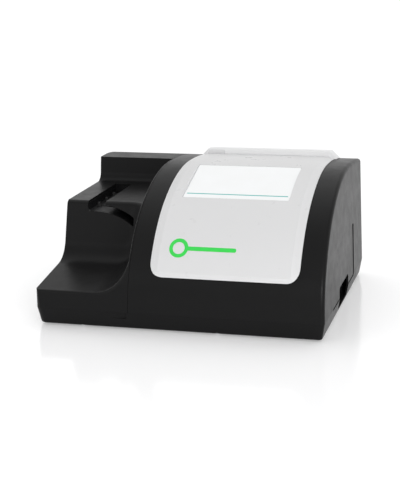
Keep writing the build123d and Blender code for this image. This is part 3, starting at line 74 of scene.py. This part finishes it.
def blend_colour(tree, factor, first, second):
    node = tree.nodes.new("ShaderNodeMix")
    node.data_type = "RGBA"
    tree.links.new(factor, node.inputs["Factor"])
    for key, colour in (("A", first), ("B", second)):
        socket = [s for s in node.inputs if s.name == key and s.type == "RGBA"][0]
        if isinstance(colour, (tuple, list)):
            socket.default_value = (*colour, 1)
        else:
            tree.links.new(colour, socket)
    return [s for s in node.outputs if s.type == "RGBA"][0]


def bump(tree, shader, height, strength, distance, edge=0.0):
    """Fine relief, and edges that catch light as if rounded by the radius given."""
    node = tree.nodes.new("ShaderNodeBump")
    node.inputs["Strength"].default_value = strength
    node.inputs["Distance"].default_value = distance
    tree.links.new(height, node.inputs["Height"])
    if edge:
        soft = tree.nodes.new("ShaderNodeBevel")
        soft.samples = 4
        soft.inputs["Radius"].default_value = edge
        tree.links.new(soft.outputs["Normal"], node.inputs["Normal"])
    tree.links.new(node.outputs["Normal"], shader.inputs["Normal"])


def moulded(name, colour, rough, grain=2600.0, depth=0.25, edge=0.0005, shade=0.12, gloss=0.5):
    """Moulded plastic: fine spark texture, slight cloudiness in colour and gloss."""
    material, tree, shader, place = new_material(name)
    cloud = noise(tree, place, 14.0, 4.0, 0.6)
    darker = tuple(c * (1 - shade) for c in colour)
    lighter = tuple(min(1.0, c * (1 + shade)) for c in colour)
    tree.links.new(blend_colour(tree, cloud, darker, lighter), shader.inputs["Base Color"])
    wear = noise(tree, place, 60.0, 5.0, 0.65)
    tree.links.new(spread(tree, wear, rough - 0.04, rough + 0.05), shader.inputs["Roughness"])
    bump(tree, shader, noise(tree, place, grain, 2.0, 0.6), depth, 0.00005, edge)
    shader.inputs["Specular IOR Level"].default_value = gloss
    return material


def metal(name, colour, rough, stretch=(1, 1, 1), scale=900.0, depth=0.15, metallic=1.0):
    """Turned, drawn or rolled metal: fine lines along the direction that isn't stretched."""
    material, tree, shader, place = new_material(name)
    mapping = tree.nodes.new("ShaderNodeMapping")
    mapping.inputs["Scale"].default_value = stretch
    tree.links.new(place, mapping.inputs["Vector"])
    lines = noise(tree, mapping.outputs["Vector"], scale, 3.0, 0.7)
    dull = tuple(c * 0.8 for c in colour)
    patches = noise(tree, place, 45.0, 4.0)
    tree.links.new(blend_colour(tree, patches, dull, colour), shader.inputs["Base Color"])
    tree.links.new(spread(tree, lines, rough - 0.06, rough + 0.1), shader.inputs["Roughness"])
    shader.inputs["Metallic"].default_value = metallic
    bump(tree, shader, lines, depth, 0.00004, 0.0003)
    return material


def lit(name, colour, strength, rough):
    """Clouded plastic lit from behind."""
    material, tree, shader, place = new_material(name)
    cloud = spread(tree, noise(tree, place, 120.0, 3.0), 0.94, 1.0)
    shade = tree.nodes.new("ShaderNodeVectorMath")
    shade.operation = "SCALE"
    shade.inputs[0].default_value = colour
    tree.links.new(cloud, shade.inputs["Scale"])
    tree.links.new(shade.outputs["Vector"], shader.inputs["Base Color"])
    tree.links.new(shade.outputs["Vector"], shader.inputs["Emission Color"])
    shader.inputs["Emission Strength"].default_value = strength
    shader.inputs["Roughness"].default_value = rough
    return material


LINE_UP = 0.0098            # teal line above the glass's lower edge, along the slope
LINE_WIDE = 0.0020
LINE_MARGIN = 0.003         # line's end to the glass's side


def screen_material():
    """A lit pale panel with one thin teal line near its lower edge."""
    material, tree, shader, place = new_material("display_panel")
    low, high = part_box("screen_glass")
    across = Vector((0, high.y - low.y, high.z - low.z)).normalized()
    middle = (low + high) / 2
    dot = tree.nodes.new("ShaderNodeVectorMath")
    dot.operation = "DOT_PRODUCT"
    dot.inputs[1].default_value = across
    tree.links.new(place, dot.inputs[0])
    rise = dot.outputs["Value"]
    half = math.hypot(high.y - low.y, high.z - low.z) / 2
    centre = middle.dot(across)

    def within(value, start, end):
        first = tree.nodes.new("ShaderNodeMath")
        first.operation = "GREATER_THAN"
        tree.links.new(value, first.inputs[0])
        first.inputs[1].default_value = start
        second = tree.nodes.new("ShaderNodeMath")
        second.operation = "LESS_THAN"
        tree.links.new(value, second.inputs[0])
        second.inputs[1].default_value = end
        both = tree.nodes.new("ShaderNodeMath")
        both.operation = "MULTIPLY"
        tree.links.new(first.outputs[0], both.inputs[0])
        tree.links.new(second.outputs[0], both.inputs[1])
        return both.outputs[0]

    foot = centre - half + LINE_UP
    line = within(rise, foot, foot + LINE_WIDE)
    split = tree.nodes.new("ShaderNodeSeparateXYZ")
    tree.links.new(place, split.inputs["Vector"])
    inside = within(split.outputs["X"], low.x + LINE_MARGIN, high.x - LINE_MARGIN)
    both = tree.nodes.new("ShaderNodeMath")
    both.operation = "MULTIPLY"
    tree.links.new(line, both.inputs[0])
    tree.links.new(inside, both.inputs[1])
    soft = spread(tree, noise(tree, place, 30.0, 2.0), 0.0, 1.0)
    panel = blend_colour(tree, soft, (0.35, 0.355, 0.355), (0.36, 0.365, 0.368))
    colour = blend_colour(tree, both.outputs[0], panel, (0.004, 0.165, 0.150))
    tree.links.new(colour, shader.inputs["Base Color"])
    tree.links.new(colour, shader.inputs["Emission Color"])
    shader.inputs["Emission Strength"].default_value = 1.50
    shader.inputs["Roughness"].default_value = 0.35
    return material


def glass_material():
    """Thin clear glass, see-through by its alpha."""
    material, tree, shader, place = new_material("clear_glass")
    tree.links.new(spread(tree, noise(tree, place, 25.0, 3.0), 0.03, 0.09), shader.inputs["Roughness"])
    shader.inputs["Base Color"].default_value = (0.93, 0.95, 0.95, 1)
    shader.inputs["Alpha"].default_value = 0.10
    shader.inputs["IOR"].default_value = 1.5
    return material


def board_material():
    """Solder mask over copper tracks."""
    material, tree, shader, place = new_material("circuit_board")
    brick = tree.nodes.new("ShaderNodeTexBrick")
    brick.inputs["Scale"].default_value = 130.0
    brick.inputs["Mortar Size"].default_value = 0.06
    brick.inputs["Color1"].default_value = (0.0, 0.0, 0.0, 1)
    brick.inputs["Color2"].default_value = (0.25, 0.25, 0.25, 1)
    brick.inputs["Mortar"].default_value = (1, 1, 1, 1)
    tree.links.new(place, brick.inputs["Vector"])
    tracks = blend_colour(tree, brick.outputs["Fac"], (0.012, 0.105, 0.045), (0.03, 0.19, 0.08))
    tree.links.new(tracks, shader.inputs["Base Color"])
    tree.links.new(spread(tree, brick.outputs["Fac"], 0.35, 0.5, 0, 1), shader.inputs["Roughness"])
    bump(tree, shader, brick.outputs["Fac"], 0.3, 0.00005)
    return material


def rubber(name, colour):
    """Dull rubber with a little dust on it."""
    material, tree, shader, place = new_material(name)
    fine = noise(tree, place, 1500.0, 3.0, 0.7)
    dust = spread(tree, noise(tree, place, 40.0, 5.0), 0, 1)
    dusty = blend_colour(tree, dust, colour, tuple(c * 1.8 for c in colour))
    tree.links.new(dusty, shader.inputs["Base Color"])
    tree.links.new(spread(tree, fine, 0.62, 0.85), shader.inputs["Roughness"])
    bump(tree, shader, fine, 0.3, 0.00006, 0.0002)
    return material


def paper_material():
    """White thermal paper; its turns show as rings on the roll's ends."""
    material, tree, shader, place = new_material("thermal_paper")
    wave = tree.nodes.new("ShaderNodeTexWave")
    wave.wave_type = "RINGS"
    wave.rings_direction = "X"
    wave.inputs["Scale"].default_value = 700.0
    wave.inputs["Distortion"].default_value = 1.0
    tree.links.new(place, wave.inputs["Vector"])
    turns = blend_colour(tree, wave.outputs["Fac"], (0.78, 0.77, 0.73), (0.84, 0.83, 0.80))
    tree.links.new(turns, shader.inputs["Base Color"])
    tree.links.new(spread(tree, noise(tree, place, 800.0, 3.0), 0.55, 0.7), shader.inputs["Roughness"])
    bump(tree, shader, noise(tree, place, 2200.0, 3.0), 0.15, 0.00003)
    return material


SMOOTH = dict(grain=1800.0, depth=0.04, edge=0.0, shade=0.010, gloss=0.35)
CASE = moulded("case_plastic", (0.0080, 0.0080, 0.0082), 0.34,
               grain=2400.0, depth=0.30, edge=0.0006, shade=0.10, gloss=0.10)
WHITE = moulded("cover_plastic", (0.76, 0.76, 0.765), 0.30, **SMOOTH)
LID = moulded("lid_plastic", (0.87, 0.87, 0.875), 0.32, **SMOOTH)
SWEEPER = moulded("sweeper_plastic", (0.030, 0.030, 0.031), 0.40, grain=1500.0, depth=0.08, shade=0.05)
BLACK = moulded("black_plastic", (0.005, 0.005, 0.0055), 0.42, depth=0.3, shade=0.15, gloss=0.2)
BIN = moulded("bin_plastic", (0.030, 0.032, 0.035), 0.45, depth=0.3)
ACETAL = moulded("acetal", (0.66, 0.66, 0.62), 0.36, grain=1500.0, depth=0.08, shade=0.03)
DIFFUSER = moulded("frosted_diffuser", (0.80, 0.80, 0.79), 0.55, grain=3000.0, depth=0.2, shade=0.02)
LOOKS = {
    "case_dark": CASE, "cover_white": WHITE, "tray_black": BLACK, "bin_grey": BIN, "acetal_white": ACETAL,
    "diffuser_white": DIFFUSER, "light_green": lit("light_guide_green", (0.025, 0.52, 0.062), 0.38, 0.3),
    "display_white": screen_material(), "screen_glass": glass_material(), "board_green": board_material(),
    "foot_rubber": rubber("foot_rubber", (0.012, 0.012, 0.012)),
    "belt_rubber": rubber("belt_rubber", (0.015, 0.015, 0.015)),
    "paper_white": paper_material(), "steel": metal("ground_steel", (0.60, 0.61, 0.63), 0.22, (1, 8, 1)),
    "frame_zinc": metal("zinc_sheet", (0.48, 0.49, 0.50), 0.38, (1, 1, 1), 160.0, 0.05),
    "bush_brass": metal("turned_brass", (0.66, 0.45, 0.16), 0.26, (1, 12, 1)),
    "motor_black": metal("motor_paint", (0.018, 0.018, 0.020), 0.42, (1, 1, 1), 700.0, 0.2, 0.0),
}
for part in frame["record"]["subparts"]:
    for slot in nodes[part["node"]].material_slots:
        slot.material = LOOKS[part["material_slot"]]
for node, look in (("printer_lid", LID), ("sweeper_arm", SWEEPER)):
    for slot in nodes[node].material_slots:
        slot.material = look


# ---------------------------------------------------------------- pieces
def add_piece(name, verts, faces, material, body, smooth=True):
    """A piece of the scene's own from its points and faces, riding on a body of the part."""
    mesh = bpy.data.meshes.new(name)
    mesh.from_pydata([tuple(v) for v in verts], [], faces)
    mesh.materials.append(material)
    work = bmesh.new()
    work.from_mesh(mesh)
    bmesh.ops.recalc_face_normals(work, faces=work.faces)
    work.to_mesh(mesh)
    work.free()
    for face in mesh.polygons:
        face.use_smooth = smooth
    piece = bpy.data.objects.new(name, mesh)
    bpy.context.scene.collection.objects.link(piece)
    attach(piece, body)
    return piece


PAPER_T = 0.00008
PAPER_MARGIN = 0.001        # roll's end to the paper's edge
PAPER_LIFT = 0.0001         # paper off the roll's face
PLATEN_GAP = 0.00015        # paper's near face before the platen
RISE_STEPS = 8


def paper_strip():
    """Paper from the front of the roll up to the print line between head and platen."""
    roll_low, roll_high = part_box("paper_roll")
    platen_low, platen_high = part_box("platen_roller")
    x0, x1 = roll_low.x + PAPER_MARGIN, roll_high.x - PAPER_MARGIN
    centre_y, centre_z = (roll_low.y + roll_high.y) / 2, (roll_low.z + roll_high.z) / 2
    radius = (roll_high.z - roll_low.z) / 2 + PAPER_LIFT
    line = []
    for degrees in range(-30, 31, 6):
        turn = math.radians(degrees)
        line.append((centre_y - radius * math.cos(turn), centre_z + radius * math.sin(turn)))
    y0, z0 = line[-1]
    y1, z1 = platen_low.y - PLATEN_GAP, (platen_low.z + platen_high.z) / 2
    for i in range(1, RISE_STEPS + 1):
        t = i / RISE_STEPS
        s = t * t * (3 - 2 * t)
        line.append((y0 + (y1 - y0) * s, z0 + (z1 - z0) * t))
    verts, faces = [], []
    for y, z in line:
        verts += [(x0, y, z), (x1, y, z), (x1, y + PAPER_T, z), (x0, y + PAPER_T, z)]
    for i in range(len(line) - 1):
        a, b = 4 * i, 4 * (i + 1)
        faces += [(a + j, a + (j + 1) % 4, b + (j + 1) % 4, b + j) for j in range(4)]
    faces += [(0, 1, 2, 3), tuple(range(4 * len(line) - 4, 4 * len(line)))]
    return add_piece("paper_strip", verts, faces, LOOKS["paper_white"], "case")


def screen_plane():
    """The glass's slope direction and normal, and its reach along x, the slope and the normal."""
    glass = nodes["screen_glass"]
    turn = glass.matrix_world.to_3x3()
    face = max(glass.data.polygons, key=lambda f: f.area * max(0.0, (turn @ f.normal).z))
    normal = (turn @ face.normal).normalized()
    along = Vector((0, normal.z, -normal.y)).normalized()
    spots = [glass.matrix_world @ v.co for v in glass.data.vertices]
    reach = []
    for axis in (Vector((1, 0, 0)), along, normal):
        places = [spot.dot(axis) for spot in spots]
        reach.append((min(places), max(places)))
    return along, normal, reach


FILM_IN = 0.0003            # film's edge inside the glass's, at the sides and below
FILM_IN_TOP = 0.0006
FILM_CORNER = 0.0012
FILM_BEVEL = 0.00006
FILM_LEVELS = ((0.0, 0.00003), (0.0, 0.00014), (FILM_BEVEL, 0.0002))    # inset, height above the glass
CORNER_STEPS = 5


def display_film():
    """The pale printed film over the display, stuck on the glass a hair inside its edges; it takes the
    display's glowing material, so it glows like the lit screen picture.
    """
    along, normal, ((x0, x1), (v0, v1), (_, top)) = screen_plane()
    x0, x1, v0, v1 = x0 + FILM_IN, x1 - FILM_IN, v0 + FILM_IN, v1 - FILM_IN_TOP
    near_x, far_x, near_v, far_v = x0 + FILM_CORNER, x1 - FILM_CORNER, v0 + FILM_CORNER, v1 - FILM_CORNER
    ring = []
    corners = ((far_x, far_v, 0), (near_x, far_v, 90), (near_x, near_v, 180), (far_x, near_v, 270))
    for cx, cv, start in corners:
        for i in range(CORNER_STEPS + 1):
            turn = math.radians(start + 90 * i / CORNER_STEPS)
            ring.append((cx + FILM_CORNER * math.cos(turn), cv + FILM_CORNER * math.sin(turn)))
    verts, faces, count = [], [], len(ring)
    mid_x, mid_v = (x0 + x1) / 2, (v0 + v1) / 2
    for inset, rise in FILM_LEVELS:
        share_x, share_v = 1 - inset / (x1 - mid_x), 1 - inset / (v1 - mid_v)
        for x, v in ring:
            x, v = mid_x + (x - mid_x) * share_x, mid_v + (v - mid_v) * share_v
            verts.append(Vector((x, 0, 0)) + along * v + normal * (top + rise))
    for level in range(len(FILM_LEVELS) - 1):
        for i in range(count):
            a, b = level * count + i, level * count + (i + 1) % count
            faces.append((a, b, b + count, a + count))
    faces += [tuple(range(count)), tuple(range(2 * count, 3 * count))]
    # the film takes the display's glowing material, so it glows like the lit screen
    look = LOOKS["display_white"]
    return add_piece("display_film", verts, faces, look, "case", smooth=False)


# ---------------------------------------------------------------- stage, light, camera
FLOOR_HALF = 14.0


def stage_floor():
    """A plain pale floor with a soft gloss."""
    mesh = bpy.data.meshes.new("floor")
    s = FLOOR_HALF
    mesh.from_pydata([(-s, -s, 0), (s, -s, 0), (s, s, 0), (-s, s, 0)], [], [(0, 1, 2, 3)])
    material, tree, shader, place = new_material("studio_floor")
    shader.inputs["Base Color"].default_value = (0.93, 0.93, 0.935, 1)
    shader.inputs["Emission Color"].default_value = (1, 1, 1, 1)
    shader.inputs["Emission Strength"].default_value = 0.26
    shader.inputs["Specular IOR Level"].default_value = 0.5
    tree.links.new(spread(tree, noise(tree, place, 3.0, 2.0), 0.10, 0.16), shader.inputs["Roughness"])
    mesh.materials.append(material)
    floor = bpy.data.objects.new("floor", mesh)
    bpy.context.scene.collection.objects.link(floor)


def area(name, place, target, size, power, gloss=1.0):
    light = bpy.data.lights.new(name, "AREA")
    light.shape = "RECTANGLE"
    light.size, light.size_y = size
    light.energy = power
    light.specular_factor = gloss
    lamp = bpy.data.objects.new(name, light)
    lamp.location = place
    lamp.rotation_euler = (Vector(target) - Vector(place)).to_track_quat("-Z", "Y").to_euler()
    bpy.context.scene.collection.objects.link(lamp)
    return lamp


def studio_world():
    """Even light, stronger from behind and above; what is seen or mirrored of it is plain white."""
    world = bpy.data.worlds.new("studio")
    world.use_nodes = True
    bpy.context.scene.world = world
    tree = world.node_tree
    back = tree.nodes["Background"]
    path = tree.nodes.new("ShaderNodeLightPath")
    coord = tree.nodes.new("ShaderNodeTexCoord")
    split = tree.nodes.new("ShaderNodeSeparateXYZ")
    tree.links.new(coord.outputs["Generated"], split.inputs["Vector"])
    front = tree.nodes.new("ShaderNodeMapRange")
    tree.links.new(split.outputs["Y"], front.inputs["Value"])
    for key, number in (("From Min", -0.7), ("From Max", 0.4), ("To Min", 0.16), ("To Max", 0.75)):
        front.inputs[key].default_value = number
    up = tree.nodes.new("ShaderNodeMapRange")
    tree.links.new(split.outputs["Z"], up.inputs["Value"])
    for key, number in (("From Min", 0.2), ("From Max", 0.9), ("To Min", 0.0), ("To Max", 0.15)):
        up.inputs[key].default_value = number
    total = tree.nodes.new("ShaderNodeMath")
    tree.links.new(front.outputs[0], total.inputs[0])
    tree.links.new(up.outputs[0], total.inputs[1])
    seen = path.outputs["Is Camera Ray"]
    for ray in ("Is Glossy Ray", "Is Transmission Ray"):
        either = tree.nodes.new("ShaderNodeMath")
        either.operation = "MAXIMUM"
        tree.links.new(seen, either.inputs[0])
        tree.links.new(path.outputs[ray], either.inputs[1])
        seen = either.outputs[0]
    pick = tree.nodes.new("ShaderNodeMix")
    tree.links.new(seen, pick.inputs[0])
    tree.links.new(total.outputs[0], pick.inputs[2])
    pick.inputs[3].default_value = 1.0
    tree.links.new(pick.outputs[0], back.inputs["Strength"])
    back.inputs["Color"].default_value = (1, 1, 1, 1)


def photo_camera():
    """The photograph's camera: a long lens from the front right, a little above."""
    yaw, pitch, roll = math.radians(15.536), math.radians(14.846), math.radians(1.329)
    ahead = Vector((-math.sin(yaw) * math.cos(pitch), math.cos(yaw) * math.cos(pitch), -math.sin(pitch)))
    right = Vector((math.cos(yaw), math.sin(yaw), 0))
    down = ahead.cross(right)
    tilt, lean = math.cos(roll), math.sin(roll)
    right, down = (tilt * right + lean * down, tilt * down - lean * right)
    turn = Matrix((right, -down, -ahead)).transposed().to_4x4()
    data = bpy.data.cameras.new("photo_camera")
    data.lens = 92.86
    data.sensor_width = 36.0
    data.sensor_fit = "AUTO"
    data.clip_end = 100.0
    camera = bpy.data.objects.new("photo_camera", data)
    camera.matrix_world = Matrix.Translation((0.42387, -1.56405, 0.49323)) @ turn
    bpy.context.scene.collection.objects.link(camera)
    bpy.context.scene.camera = camera


paper_strip()
display_film()
stage_floor()
studio_world()
photo_camera()
area("top_softbox", (-0.3, 0.5, 1.5), (0, 0.05, 0.1), (1.8, 1.2), 3)
area("front_fill", (0.9, -1.9, 0.8), (0, 0, 0.10), (1.2, 0.8), 20, 0.2)
area("left_fill", (-1.3, -1.6, 0.9), (-0.1, 0, 0.08), (0.9, 0.7), 3, 1.0)
area("right_softbox", (1.6, 0.6, 0.8), (0.1, 0.05, 0.08), (0.9, 0.9), 1.5)

scene = bpy.context.scene
scene.view_settings.view_transform = "Standard"
scene.view_settings.look = "None"
